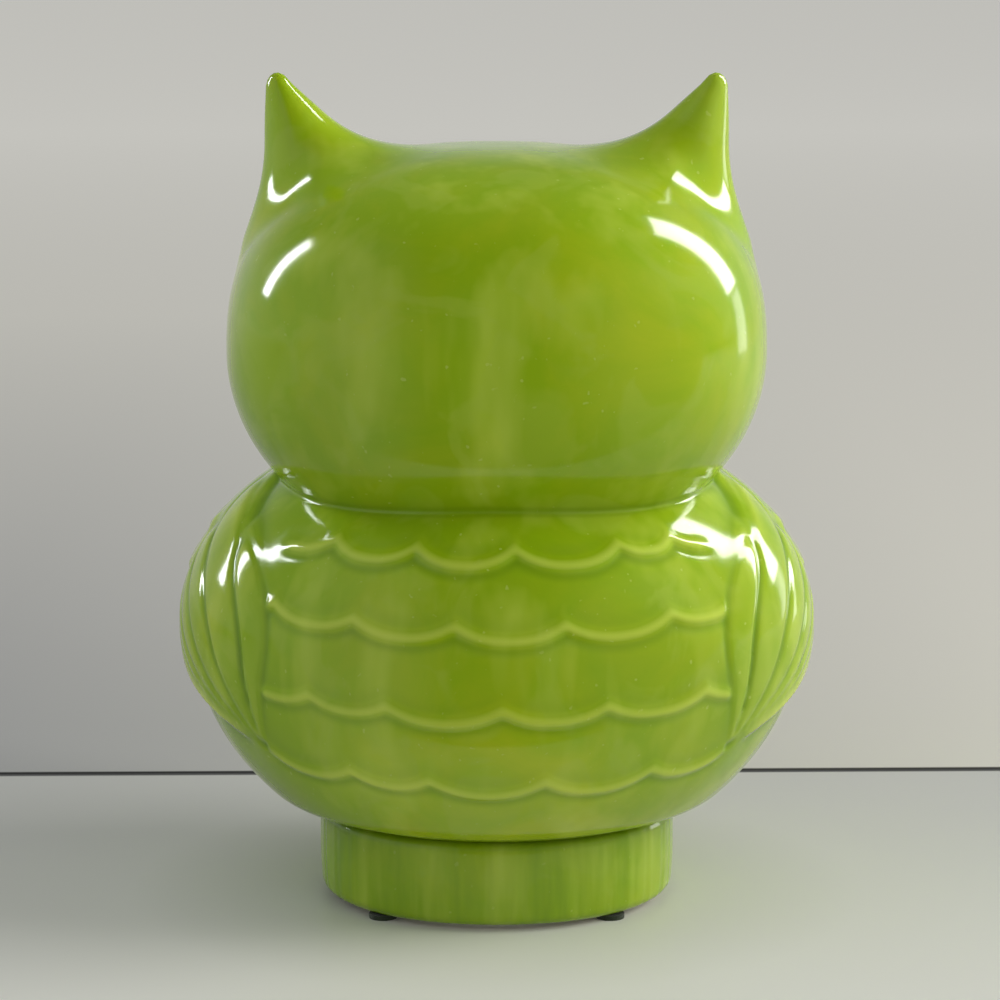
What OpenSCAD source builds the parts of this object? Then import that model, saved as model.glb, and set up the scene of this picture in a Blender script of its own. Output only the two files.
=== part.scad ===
// Owl-shaped ceramic coin bank: a hollow slip-cast shell on a round foot, a two-piece
// turn-to-lock plug in the floor of the foot, and four felt dots under it.
// Millimetres, +Z up. The origin is on the table under the middle of the owl, which faces -Y.

/* [Head] */
// Width of the head across the cheeks
head_w = 114.6; // [90:0.2:150]
// Depth of the head, front to back
head_d = 112; // [90:1:136]
// Height of the cheeks, where the head is widest, above the neck crease
cheek_h = 26.6; // [18:0.2:34]
// Height of the crown above the cheeks
crown_h = 43; // [36:0.2:54]
// How far the neck crease lies inside the cheeks, each side
neck_inset = 11; // [6:0.2:14]

/* [Ears] */
// Height of the ear tips above the crown
ear_h = 15.4; // [8:0.2:20]
// Distance of each ear tip inside the cheek
ear_inset = 10.6; // [4:0.2:16]
// Radius of the rounded tip
ear_tip_r = 3.2; // [2:0.1:4]
// Outward lean of the ear, which is also half its cone angle
ear_lean = 25; // [18:1:32]

/* [Body] */
// Width of the body over the wings
body_w = 136.4; // [110:0.2:170]
// Depth of the body, front to back
body_d = 126; // [104:1:152]
// Height of the body's widest level above its underside
belly_h = 40; // [32:0.5:50]
// Height of the neck crease above the body's widest level
shoulder_h = 32; // [26:0.5:40]
// How far the wings stand out of the body
wing_raise = 2.2; // [1:0.1:4]

/* [Foot] */
// Width of the foot
foot_w = 76.4; // [68:0.2:94]
// Depth of the foot, front to back
foot_d = 74.4; // [66:0.2:90]
// Height of the belly's underside above the table
foot_h = 20.4; // [17:0.2:25]
// Overhang of the belly's lower edge past the foot
overhang = 7.6; // [5:0.2:12]
// Depth of the recess under the floor
recess_h = 7; // [7:0.2:9]
// Width of the ring that the foot stands on, at its narrowest
ring_w = 6.5; // [5:0.1:9]

/* [Wall] */
// Thickness of the ceramic wall
wall = 5; // [4:0.2:7]
// Thickness of the floor that holds the plug
floor_t = 5; // [4:0.2:7]

/* [Coin slot] */
// Length of the slot, across the crown
slot_l = 36; // [30:0.5:44]
// Width of the slot
slot_w = 5; // [4.4:0.1:6.5]
// Distance of the slot in front of the top of the crown
slot_forward = 16; // [8:0.5:22]

/* [Plug] */
// Diameter of the hole in the floor
hole_d = 38; // [31:0.2:46]
// Gap between the plug's skirt and the hole, each side
plug_gap = 0.45; // [0.3:0.05:0.8]
// Width of the plug's flange outside the hole
flange_lip = 3; // [2:0.1:4]
// Thickness of the flange
flange_t = 2; // [1.6:0.1:2.6]
// Thickness of the skirt
skirt_t = 1.8; // [1.4:0.1:2.4]
// Height of the spring fingers above the floor
finger_rise = 4; // [3:0.2:6]
// Diameter of the knob's stem
stem_d = 8; // [6:0.2:10]
// Running gap between the knob and the plug body
turn_gap = 0.1; // [0.05:0.01:0.2]

/* [Felt feet] */
// Diameter of each felt dot
dot_d = 6; // [4:0.2:8]
// Thickness of the felt
dot_t = 1; // [0.6:0.1:1.6]

/* [Hidden] */

glaze = [0.55, 0.65, 0.18];
plastic = [0.93, 0.92, 0.87];
felt = [0.16, 0.19, 0.16];

// Levels, from the table up. The ceramic foot stands on the felt.
foot_bottom = dot_t;
floor_under = foot_bottom + recess_h;
floor_top = floor_under + floor_t;
body_level = foot_h + belly_h;
neck_level = body_level + shoulder_h;
head_level = neck_level + cheek_h;
crown_level = head_level + crown_h;
ear_level = crown_level + ear_h;

// Half-heights of the ellipses whose arcs pass through the belly's lower edge and the neck.
neck_w = head_w - 2 * neck_inset;
rim_w = foot_w + 2 * overhang;
body_core_w = body_w - 2 * wing_raise;
belly_drop = belly_h / sqrt(1 - pow(rim_w / body_w, 2));
shoulder_rise = shoulder_h / sqrt(1 - pow(neck_w / body_w, 2));
head_drop = cheek_h / sqrt(1 - pow(neck_w / head_w, 2));

// Roundness of each form: 2 is an ellipse, and more is squarer.
head_plan_n = 2.4;
crown_n = 2.2;
plain_n = 2;
foot_n = 2.1;

// Radii of the soft blends between the forms.
neck_blend = 3;
ear_blend = 13;
ledge_blend = 4.3;
foot_blend = 2;
foot_edge = 1.6;

// The shell is surveyed along rays from a point inside the neck.
eye_drop = 15;
eye_point = [0, 0, neck_level - eye_drop];
reach_max = 1.2 * max(ear_level, body_w, body_d);
halvings = 19;

// ---- fields: below 0 inside a form, above 0 outside, close to a distance in mm ----

// Superellipsoid of half-sizes h about the origin, of roundness n in plan and m in height.
function ball(p, h, n, m) =
    let (plan = pow(pow(abs(p.x) / h.x, n) + pow(abs(p.y) / h.y, n), m / n),
         g = pow(plan + pow(abs(p.z) / h.z, m), 1 / m) + 1e-6)
    norm(p) * (1 - 1 / g);

// Upright column with a superelliptic plan.
function column(p, hx, hy, n) =
    let (g = pow(pow(abs(p.x) / hx, n) + pow(abs(p.y) / hy, n), 1 / n) + 1e-6)
    norm([p.x, p.y]) * (1 - 1 / g);

// Cone with ball ends, from a (radius ra) to b (radius rb).
function round_cone(p, a, b, ra, rb) =
    let (along = b - a, t = max(0, min(1, (p - a) * along / (along * along))))
    norm(p - a - t * along) - (ra + t * (rb - ra));

// Soft union and soft intersection over a blend of width k.
function join(a, b, k) = min(a, b) - pow(max(k - abs(a - b), 0), 2) / (4 * k);
function trim(a, b, k) = max(a, b) + pow(max(k - abs(a - b), 0), 2) / (4 * k);
function soft_step(t) = let (u = max(0, min(1, t))) u * u * (3 - 2 * u);

// ---- the owl's forms ----

function head_form(p, inset) =
    let (q = p - [0, 0, head_level], up = q.z > 0)
    ball(q, [head_w / 2 - inset, head_d / 2 - inset, (up ? crown_h : head_drop) - inset],
         head_plan_n, up ? crown_n : plain_n);

// The wing stands proud of the body's side inside an oval.
wing_h = 34;
wing_half_d = 33;
wing_drop = 1;
wing_edge = 0.35;
function wing_cover(y, z) =
    soft_step((1 + wing_edge / 2 - pow(y / wing_half_d, 2)
               - pow((z - body_level + wing_drop) / wing_h, 2)) / wing_edge);

function body_form(p, inset, raise) =
    let (q = p - [0, 0, body_level], up = q.z > 0,
         hx = body_core_w / 2 + raise * wing_cover(p.y, p.z) - inset)
    ball(q, [hx, body_d / 2 - inset, (up ? shoulder_rise : belly_drop) - inset],
         plain_n, plain_n);

// One ear, at +X. Its outer side runs straight down from the tip.
ear_tip = [head_w / 2 - ear_inset, 0, ear_level - ear_tip_r];
ear_length = 26;
ear_root = ear_tip - ear_length * [sin(ear_lean), 0, cos(ear_lean)];
ear_root_r = ear_tip_r + ear_length * sin(ear_lean);
function ear_form(p) = round_cone([abs(p.x), p.y, p.z], ear_root, ear_tip, ear_root_r, ear_tip_r);

// The face is raised round each eye, at -Y, and the beak and the toes stand out of the front.
eye_at = [head_w * 0.2, head_level + 4];
eye_r = 20;
eye_raise = 2.4;
eye_edge = 0.45;
beak_at = [0, -head_d / 2, head_level - 9];
beak_half = [8, 7, 12];
toes_at = [foot_w * 0.22, -foot_d / 2 + 1, foot_h - 5];
toes_half = [12, 7.5, 7];
front_blend = 6;
function eye_cover(p) =
    p.y > 0 ? 0
    : soft_step((1 + eye_edge / 2 - pow((abs(p.x) - eye_at.x) / eye_r, 2)
                 - pow((p.z - eye_at.y) / eye_r, 2)) / eye_edge);
function beak_form(p) = ball(p - beak_at, beak_half, plain_n, plain_n);
function toes_form(p) = ball([abs(p.x), p.y, p.z] - toes_at, toes_half, plain_n, plain_n);

function foot_form(p) =
    trim(trim(column(p, foot_w / 2, foot_d / 2, foot_n), foot_bottom - p.z, foot_edge),
         p.z - body_level, foot_edge);

function outside_form(p) =
    let (head = join(head_form(p, 0) - eye_raise * eye_cover(p), ear_form(p), ear_blend),
         face = join(head, beak_form(p), front_blend),
         body = trim(body_form(p, 0, wing_raise), foot_h - p.z, ledge_blend),
         stand = join(join(body, foot_form(p), foot_blend), toes_form(p), front_blend))
    join(face, stand, neck_blend);

function inside_form(p) =
    let (head = head_form(p, wall),
         body = trim(body_form(p, wall, 0), foot_h + wall - p.z, ledge_blend),
         foot = max(column(p, foot_w / 2 - wall, foot_d / 2 - wall, foot_n), p.z - body_level))
    join(join(head, body, neck_blend), foot, ledge_blend);

// ---- surveying a form into a closed skin ----

function form(p, inner) = inner ? inside_form(p) : outside_form(p);

// Distance from the eye point to the form's surface, by halving.
function reach(dir, lo, hi, n, inner) =
    let (mid = (lo + hi) / 2)
    n == 0 ? mid
    : form(eye_point + mid * dir, inner) < 0 ? reach(dir, mid, hi, n - 1, inner)
    : reach(dir, lo, mid, n - 1, inner);

// Azimuths bunch a little towards the ears and the face.
function azimuth(j, cols) = let (a = 360 * j / cols) a - (2 + 4 * sin(a)) * sin(2 * a);

// Outline of the foot at a level, on one azimuth: the skin's last ring.
function foot_point(az, level, inset) =
    let (hx = foot_w / 2 - inset, hy = foot_d / 2 - inset,
         r = 1 / pow(pow(abs(cos(az)) / hx, foot_n) + pow(abs(sin(az)) / hy, foot_n), 1 / foot_n))
    [r * cos(az), r * sin(az), level];

// Rings run from straight up to the foot's outline. One passes over the ear's highest point
// and one along the neck crease.
ear_angle = atan2(ear_tip.x, ear_level - eye_point.z);
neck_angle = atan2(neck_w / 2, neck_level - eye_point.z);
ear_part = 0.24;
neck_part = 0.54;
function ring_angle(t, end) =
    t < ear_part ? t / ear_part * ear_angle
    : t < neck_part ? ear_angle + (t - ear_part) / (neck_part - ear_part) * (neck_angle - ear_angle)
    : neck_angle + (t - neck_part) / (1 - neck_part) * (end - neck_angle);

function ring_point(i, j, rings, cols, level, inset, inner) =
    let (az = azimuth(j, cols), last = foot_point(az, level, inset),
         end = atan2(norm([last.x, last.y]), last.z - eye_point.z),
         polar = ring_angle(i / rings, end),
         dir = [sin(polar) * cos(az), sin(polar) * sin(az), cos(polar)])
    i == rings ? last : eye_point + dir * reach(dir, 0, reach_max, halvings, inner);

module skin(rings, cols, level, inset, inner) {
    top = eye_point + [0, 0, reach([0, 0, 1], 0, reach_max, halvings, inner)];
    points = [
        top,
        for (i = [1:rings], j = [0:cols - 1]) ring_point(i, j, rings, cols, level, inset, inner)
    ];
    faces = [
        for (j = [0:cols - 1]) [0, 1 + (j + 1) % cols, 1 + j],
        for (i = [0:rings - 2], j = [0:cols - 1])
            let (a = 1 + i * cols + j, b = 1 + i * cols + (j + 1) % cols)
            each [[a, b, b + cols], [a, b + cols, a + cols]],
        [for (j = [0:cols - 1]) 1 + (rings - 1) * cols + j]
    ];
    polyhedron(points, faces, convexity = 6);
}

// ---- the pieces ----

outer_rings = 50;
outer_cols = 88;
inner_rings = 20;
inner_cols = 32;
recess_r = foot_d / 2 - ring_w;
hole_r = hole_d / 2;
cut = 1;

module coin_slot() {
    straight = slot_l - slot_w;
    deep = 3 * wall;
    translate([0, -slot_forward, crown_level - deep]) {
        translate([-straight / 2, -slot_w / 2, 0]) cube([straight, slot_w, deep + cut]);
        for (x = [-straight / 2, straight / 2])
            translate([x, 0, 0]) cylinder(d = slot_w, h = deep + cut, $fn = 48);
    }
}

module owl_shell() {
    color(glaze)
        difference() {
            skin(outer_rings, outer_cols, foot_bottom, foot_edge / 2, false);
            skin(inner_rings, inner_cols, floor_top, wall, true);
            translate([0, 0, foot_bottom - cut])
                cylinder(r = recess_r, h = recess_h + cut, $fn = 96);
            translate([0, 0, foot_bottom])
                cylinder(r = hole_r, h = recess_h + floor_t + cut, $fn = 96);
            coin_slot();
        }
}

// Levels in the plug, hanging down from the underside of the floor.
seat_gap = 0.1;
flange_top = floor_under - seat_gap;
flange_under = flange_top - flange_t;
skirt_r = hole_r - plug_gap;
skirt_top = floor_top + finger_rise;
barb_gap = 0.15;
barb_out = plug_gap - barb_gap;
barb_h = 1.6;
finger_slot_w = 3;
fingers = 4;
flange_r = hole_r + flange_lip;
stem_r = stem_d / 2;

module plug_body() {
    color(plastic)
        difference() {
            union() {
                translate([0, 0, flange_under])
                    cylinder(r = flange_r, h = flange_t, $fn = 96);
                translate([0, 0, flange_under])
                    cylinder(r = skirt_r, h = skirt_top - flange_under, $fn = 96);
                translate([0, 0, skirt_top - barb_h])
                    cylinder(r = skirt_r + barb_out, h = barb_h, $fn = 96);
            }
            // The bore inside the skirt, less a pad on each of the two fingers that the cams press.
            difference() {
                translate([0, 0, flange_top])
                    cylinder(r = skirt_r - skirt_t, h = skirt_top - flange_top + cut, $fn = 96);
                difference() {
                    translate([-cam_w / 2, -hole_r, cam_under])
                        cube([cam_w, hole_d, cam_t]);
                    translate([0, 0, cam_under - cut])
                        cylinder(r = skirt_r - skirt_t - pad_t, h = cam_t + 2 * cut, $fn = 96);
                }
            }
            translate([0, 0, flange_under - cut])
                cylinder(r = stem_r + turn_gap, h = flange_t + 2 * cut, $fn = 64);
            for (k = [0:fingers / 2 - 1])
                rotate([0, 0, 45 + 180 * k / (fingers / 2)])
                    translate([-skirt_r - cut, -finger_slot_w / 2, flange_top + cut])
                        cube([2 * (skirt_r + cut), finger_slot_w, skirt_top]);
        }
}

knob_r = 11;
knob_t = 1.5;
bar_t = 3.2;
bar_inset = 1.5;
bar_l = 2 * (knob_r - bar_inset);
cam_gap = 0.6;
pad_t = 0.4;
cam_w = 7;
cam_t = 3;
knob_top = flange_under - turn_gap;
knob_under = knob_top - knob_t;
bar_clear = 0.6;
bar_under = foot_bottom + bar_clear;
cam_rise = 1.5;
cam_under = flange_top + turn_gap + cam_rise;
cam_r = skirt_r - skirt_t - cam_gap;

module plug_knob() {
    color(plastic) {
        translate([0, 0, knob_under]) cylinder(r = knob_r, h = knob_t, $fn = 72);
        translate([-bar_l / 2, -bar_t / 2, bar_under])
            cube([bar_l, bar_t, knob_under - bar_under + knob_t / 2]);
        translate([0, 0, knob_under + knob_t / 2])
            cylinder(r = stem_r, h = cam_under + cam_t - knob_under - knob_t / 2, $fn = 64);
        intersection() {
            translate([-cam_r, -cam_w / 2, cam_under]) cube([2 * cam_r, cam_w, cam_t]);
            translate([0, 0, cam_under]) cylinder(r = cam_r, h = cam_t, $fn = 96);
        }
    }
}

// A felt dot in the middle of the ring that the foot stands on.
module felt_foot(az) {
    edge = foot_point(az, 0, foot_edge / 2);
    mid = (norm([edge.x, edge.y]) + recess_r) / 2;
    color(felt)
        translate([mid * cos(az), mid * sin(az), 0])
            cylinder(d = dot_d, h = dot_t, $fn = 48);
}

owl_shell();
plug_body();
plug_knob();
felt_foot(45);  // felt_foot_1
felt_foot(135);  // felt_foot_2
felt_foot(225);  // felt_foot_3
felt_foot(315);  // felt_foot_4
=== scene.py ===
"""Owl coin bank: the glazed ceramic shell, its stopper and its felt dots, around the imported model.

The shell is one hollow casting. It is modelled here as three meshes that meet in its two natural
creases: the head, the body under the neck crease, and the foot under the belly's ledge.
Each is a spun grid whose points are moved out along rays from a point inside the neck until they
lie on the owl's form, and then along the surface's normal by the relief of feathers and face.
The beak's point and the foot's rounded edges are moved after that.
All sizes are metres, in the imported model's frame: +Z up, the owl faces -Y.
"""

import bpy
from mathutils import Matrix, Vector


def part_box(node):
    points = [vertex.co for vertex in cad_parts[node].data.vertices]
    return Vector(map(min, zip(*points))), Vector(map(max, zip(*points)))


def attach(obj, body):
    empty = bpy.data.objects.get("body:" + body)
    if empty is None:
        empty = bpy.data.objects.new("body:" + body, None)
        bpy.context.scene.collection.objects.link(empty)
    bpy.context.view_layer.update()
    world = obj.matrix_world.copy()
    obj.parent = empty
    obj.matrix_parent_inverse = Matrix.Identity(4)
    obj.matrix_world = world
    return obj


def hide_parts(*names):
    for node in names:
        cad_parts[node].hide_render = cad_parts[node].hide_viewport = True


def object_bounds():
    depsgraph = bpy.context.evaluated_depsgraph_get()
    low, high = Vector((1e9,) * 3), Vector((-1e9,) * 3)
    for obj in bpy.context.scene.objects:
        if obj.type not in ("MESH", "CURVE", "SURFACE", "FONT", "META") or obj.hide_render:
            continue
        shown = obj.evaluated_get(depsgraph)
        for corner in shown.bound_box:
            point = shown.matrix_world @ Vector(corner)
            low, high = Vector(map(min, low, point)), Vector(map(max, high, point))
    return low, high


bl_info = {
    "name": "Owl Coin Bank",
    "version": (1, 0, 0),
    "blender": (4, 5, 0),
    "location": "View3D > Sidebar > Owl Bank",
    "description": "Models a glazed ceramic owl coin bank, its stopper and its felt feet",
    "category": "Add Mesh",
}

import math

import bmesh
import bpy
import numpy as np
from bpy.props import FloatProperty, FloatVectorProperty, IntProperty, PointerProperty
from bpy.types import Operator, Panel, PropertyGroup

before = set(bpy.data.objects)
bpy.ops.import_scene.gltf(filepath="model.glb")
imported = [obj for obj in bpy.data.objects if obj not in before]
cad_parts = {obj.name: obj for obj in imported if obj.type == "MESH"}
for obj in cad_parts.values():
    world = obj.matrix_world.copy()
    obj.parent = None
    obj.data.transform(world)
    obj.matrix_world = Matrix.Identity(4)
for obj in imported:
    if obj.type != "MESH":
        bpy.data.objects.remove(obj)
CAD_BOX = [list(corner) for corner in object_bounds()]
BOX_LOW, BOX_HIGH = CAD_BOX


# ---------------------------------------------------------------- properties


def length(name, description, default):
    return FloatProperty(
        name=name, description=description, default=default, min=0.0, unit="LENGTH", precision=4
    )


def colour(name, description, default):
    return FloatVectorProperty(
        name=name, description=description, default=default, subtype="COLOR", size=3, min=0, max=1
    )


class OwlShape(PropertyGroup):
    """The sizes of the casting."""

    head_width: length("Head width", "Across the cheeks", 0.1146)
    head_depth: length("Head depth", "Front to back", 0.112)
    cheek_height: length("Cheek height", "Widest level above the neck crease", 0.0266)
    crown_height: length("Crown height", "Crown above the cheeks", 0.043)
    neck_inset: length("Neck inset", "Neck crease inside the cheeks, each side", 0.011)
    ear_height: length("Ear height", "Ear tips above the crown", 0.0154)
    ear_inset: length("Ear inset", "Ear tips inside the cheeks", 0.0106)
    ear_tip: length("Ear tip radius", "Radius of the rounded tip", 0.0032)
    ear_lean: FloatProperty(
        name="Ear lean",
        description="Outward lean of the ear and half its cone angle",
        default=math.radians(25),
        subtype="ANGLE",
    )
    body_width: length("Body width", "Over the wings", BOX_HIGH[0] - BOX_LOW[0])
    body_depth: length("Body depth", "Front to back", BOX_HIGH[1] - BOX_LOW[1])
    belly_height: length("Belly height", "Widest level above the belly's underside", 0.040)
    shoulder_height: length("Shoulder height", "Neck crease above the widest level", 0.032)
    wing_raise: length("Wing raise", "Wings stand out of the body", 0.0022)
    foot_width: length("Foot width", "Width of the foot", 0.0764)
    foot_depth: length("Foot depth", "Depth of the foot", 0.0744)
    foot_height: length("Foot height", "Belly's underside above the table", 0.0204)
    overhang: length("Overhang", "Belly's lower edge past the foot", 0.0076)
    wall: length("Wall", "Thickness of the ceramic", 0.005)
    slot_length: length("Slot length", "Length of the coin slot", 0.036)
    slot_width: length("Slot width", "Width of the coin slot", 0.005)
    slot_forward: length("Slot place", "Slot in front of the crown's middle", 0.016)
    hole_radius: length("Hole radius", "Hole in the floor for the stopper", 0.019)
    recess_radius: length("Recess radius", "Recess under the floor", 0.0307)
    recess_height: length("Recess height", "Depth of the recess", 0.007)


class OwlRelief(PropertyGroup):
    """The sizes of the feathers and the face."""

    ridge: length("Ridge height", "Height of a feather's edge", 0.00056)
    ridge_width: length("Ridge width", "Width of a feather's edge", 0.00108)
    scallop: length("Scallop depth", "Drop of a scallop below its cusps", 0.0027)
    eye_radius: length("Eye radius", "Radius of the raised ring round each eye", 0.020)
    eye_raise: length("Eye raise", "Height of the raised eye", 0.0024)
    flute: length("Foot ripple", "Height of the brushed ripples on the foot", 0.00003)
    columns: IntProperty(name="Columns", description="Grid columns round the owl", default=600)


class OwlGlaze(PropertyGroup):
    """The colours of the finishes."""

    glaze: colour("Glaze", "Glaze at its usual thickness", (0.268, 0.420, 0.004))
    thin: colour("Thin glaze", "Glaze on ridges, where it runs thin", (0.580, 0.680, 0.100))
    # The pooled glaze colour also paints the shade in the creases and, in part, on the foot.
    pool: colour("Pooled glaze", "Glaze in grooves, where it pools", (0.130, 0.250, 0.003))
    straw: colour("Straw streaks", "Warm streaks in the glaze", (0.380, 0.470, 0.010))
    bisque: colour("Bisque", "Bare fired clay under the foot", (0.72, 0.66, 0.55))
    stopper: colour("Stopper", "Moulded plastic of the stopper", (0.80, 0.77, 0.68))
    # The felt is nearly black: partly dark felt, partly painted shade, so that the dots read as the
    # shadow in the gap under the foot.
    felt: colour("Felt", "Felt of the dots", (0.012, 0.020, 0.010))


class OwlStudio(PropertyGroup):
    """The stage, its lights and the camera."""

    table: colour("Table", "The pale table", (0.86, 0.865, 0.83))
    wall: colour(
        "Shaded ground", "The ground past the table's edge, away from the light", (0.43, 0.437, 0.453)
    )
    far_wall: colour("Bright ground", "The ground near the light and farther away", (0.80, 0.785, 0.72))
    sky: colour("Soft light", "Light from behind the stage", (0.50, 0.51, 0.52))
    overhead: colour("Overhead light", "Light from above", (0.16, 0.165, 0.165))
    right: colour("Right light", "Light from the right of the stage", (0.46, 0.445, 0.33))
    left: colour("Left light", "Light from the left of the stage", (0.52, 0.53, 0.54))
    room: colour("Room", "Dimmer light from the front of the stage", (0.07, 0.072, 0.075))
    backdrop_glow: FloatProperty(
        name="Backdrop glow", description="Light that the far ground gives", default=0.32, min=0
    )
    table_edge: length("Table edge", "Table's far edge behind the owl", 0.1024)
    table_front: length("Table front", "Table's near part shows in the glaze up to here", 0.100)
    edge_slant: FloatProperty(
        name="Edge slant", description="Slope of the table's far edge", default=0.0215
    )
    camera_distance: length("Camera distance", "Camera from the owl's axis", 0.901)
    camera_height: length("Camera height", "Camera above the table", 0.2516)
    aim_height: length("Aim height", "Level that the camera looks at", 0.0857)
    lens: FloatProperty(name="Lens", description="Focal length", default=153.8, unit="CAMERA")


# ---------------------------------------------------------------- forms
# A form is below 0 inside and above 0 outside, and close to a distance in metres.

TINY = 1e-9
PLAN_ROUND = 2.0
HEAD_PLAN_ROUND = 2.4
CROWN_ROUND = 2.5
FOOT_ROUND = 2.1
NECK_BLEND = 0.0012
EAR_BLEND = 0.013
EAR_BLEND_BACK = 0.0065
EAR_BLEND_REACH = 0.009
EAR_FACE_BLEND = 0.003
EAR_FACE_CUT = 0.0005
EAR_FACE_DOWN = 0.010
EAR_FACE = (0.840, 0.525, 0.139)
FRONT_BLEND = 0.004
LEDGE_BLEND = 0.0043
FOOT_BLEND = 0.0012
FOOT_EDGE = 0.0016
EAR_LENGTH = 0.026
EYE_DROP = 0.015
EYE_ACROSS = 0.2
EYE_UP = 0.004

# The beak: where its root and its tip lie, their radii, how it is drawn down, and how far from it
# the relief of the eyes begins.
BEAK_INSIDE = 0.0005
BEAK_BELOW = 0.002
BEAK_RUN = (0, 0.0020, -0.0120)
BEAK_RADII = (0.0062, 0.0034)
BEAK_STANDS = 0.0024
BEAK_HALF = 0.0090
BEAK_DROOP = 1.5
BEAK_START = 0.0012
BEAK_CROWN = 0.02
BEAK_CLEAR = (0.0004, 0.0028)

# Each toe on one side: distance from the middle, its root behind the foot's front and its tip
# in front of it. Then the drops of root and tip below the foot's top, and their radii.
TOES = ((0.0085, 0.0006, 0.0014), (0.0168, 0.0014, 0.0020), (0.0250, 0.0034, -0.0008))
TOE_DROPS = (0.0025, 0.0098)
TOE_RADII = (0.0048, 0.0037)
TOE_BLEND = 0.0008

# The foot: radii of its top and bottom edges, and the draw of its lower half. The top edge isn't
# rounded in front, past TOES_FROM of the half depth, so that the toes keep their shape.
FOOT_SHOULDER = 0.0027
FOOT_HEEL = 0.0026
FOOT_BULGE = 0.0006
TOES_FROM = 0.8
TOES_FADE = 0.010
# Radii of the edges of the recess and the hole, and of the slot, and the floor's seam to the wall.
FLOOR_LIP = 0.0008
SLOT_LIP = 0.0013
FLOOR_SEAM = 0.0005


def ball(p, half, plan, rise):
    """Superellipsoid about the origin, of roundness plan seen from above and rise from the side."""
    flat = (np.abs(p[:, 0]) / half[0]) ** plan + (np.abs(p[:, 1]) / half[1]) ** plan
    g = (flat ** (rise / plan) + (np.abs(p[:, 2]) / half[2]) ** rise) ** (1 / rise) + TINY
    return np.linalg.norm(p, axis=1) * (1 - 1 / g)


def column(p, half_x, half_y, plan):
    """Upright column about the Z axis, of roundness plan."""
    flat = (np.abs(p[:, 0]) / half_x) ** plan + (np.abs(p[:, 1]) / half_y) ** plan
    return np.hypot(p[:, 0], p[:, 1]) * (1 - 1 / (flat ** (1 / plan) + TINY))


def round_cone(p, a, b, radius_a, radius_b):
    """Cone from a to b with rounded ends."""
    along = np.subtract(b, a)
    t = np.clip((p - a) @ along / (along @ along), 0, 1)
    return np.linalg.norm(p - a - t[:, None] * along, axis=1) - radius_a - t * (radius_b - radius_a)


def join(a, b, width):
    """What is in either form, with a fillet between them."""
    return np.minimum(a, b) - np.maximum(width - np.abs(a - b), 0) ** 2 / (4 * width)


def trim(a, b, width):
    """What is in both forms, with a rounded edge."""
    return np.maximum(a, b) + np.maximum(width - np.abs(a - b), 0) ** 2 / (4 * width)


def soft_step(t):
    u = np.clip(t, 0, 1)
    return u * u * (3 - 2 * u)


def round_off(radius, distance):
    """How far a rounded edge lies inside the sharp one, at a distance from the corner."""
    rest = np.clip(radius - distance, 0, radius)
    return radius - np.sqrt(np.maximum(radius**2 - rest**2, 0))


def mirrored(p):
    return np.column_stack((np.abs(p[:, 0]), p[:, 1], p[:, 2]))


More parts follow.
